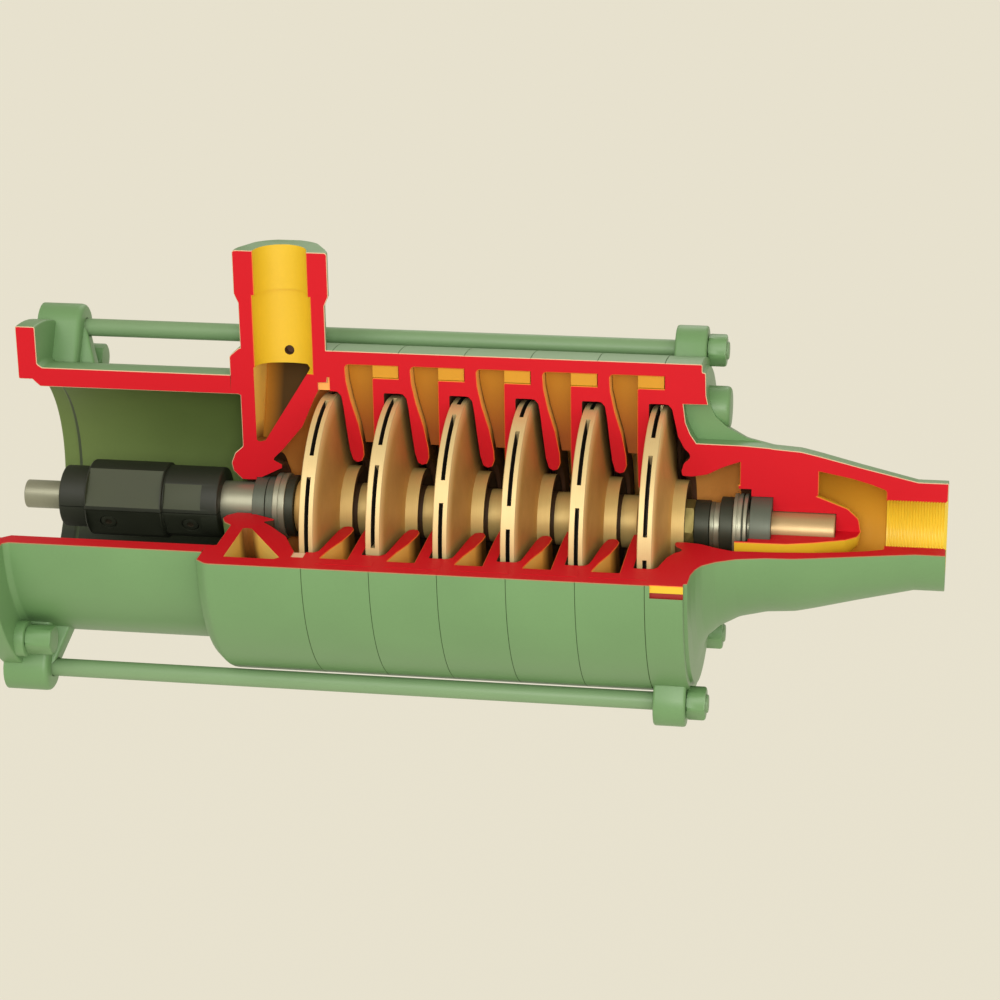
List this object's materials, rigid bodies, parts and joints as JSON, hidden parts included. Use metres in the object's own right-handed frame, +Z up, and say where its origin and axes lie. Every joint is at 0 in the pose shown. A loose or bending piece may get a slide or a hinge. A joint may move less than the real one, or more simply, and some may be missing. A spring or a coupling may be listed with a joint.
{
  "type": "multistage pump",
  "caption": "Horizontal multistage pump, cut away at the upper front to show closed impellers on a shaft inside stacked ring casings, between a motor lantern and a threaded suction bell.",
  "frame": {"origin": "on the motor flange's face, in the middle of its land straight below the shaft", "axes": "+X along the shaft towards the suction port, +Z up along the discharge nozzle, -Y towards the cut-away side"},
  "size_m": [0.7775, 0.2982, 0.3701],
  "materials": {
    "green_paint": "satin green paint on castings and fasteners",
    "bronze": "machined bronze",
    "steel": "turned steel",
    "dark_steel": "dark seal and thrust parts",
    "black_cast": "blackened iron"
  },
  "bodies": {
    "housing": {"motor_lantern": "green_paint", "discharge_casing": "green_paint", "stage_casing_1": "green_paint", "stage_casing_2": "green_paint", "stage_casing_3": "green_paint", "stage_casing_4": "green_paint", "stage_casing_5": "green_paint", "diffuser_1": "green_paint", "diffuser_2": "green_paint", "diffuser_3": "green_paint", "diffuser_4": "green_paint", "diffuser_5": "green_paint", "suction_casing": "green_paint", "tie_rod_upper_rear": "green_paint", "tie_rod_lower_front": "green_paint", "tie_rod_lower_rear": "green_paint", "rod_nut_upper_rear": "green_paint", "rod_nut_lower_front": "green_paint", "rod_nut_lower_rear": "green_paint", "motor_bolt_upper_rear": "green_paint", "motor_bolt_lower_front": "green_paint", "motor_bolt_lower_rear": "green_paint", "seal_seat": "dark_steel", "thrust_seat": "dark_steel"},
    "rotor": {"pump_shaft": "steel", "motor_shaft_stub": "steel", "coupling_upper_half": "black_cast", "coupling_lower_half": "black_cast", "impeller_1": "bronze", "impeller_2": "bronze", "impeller_3": "bronze", "impeller_4": "bronze", "impeller_5": "bronze", "impeller_6": "bronze", "seal_ring": "dark_steel", "seal_spring_housing": "steel", "shaft_lock_nut": "steel", "shaft_sleeve": "dark_steel", "spacer_ring": "steel", "thrust_sleeve": "dark_steel", "thrust_ring": "steel"}
  },
  "joints": [
    {"name": "rotor_spin", "type": "hinge", "parent": "housing", "child": "rotor", "pos_m": [0.4, 0, 0.128], "axis": [1, 0, 0], "continuous": true}
  ]
}
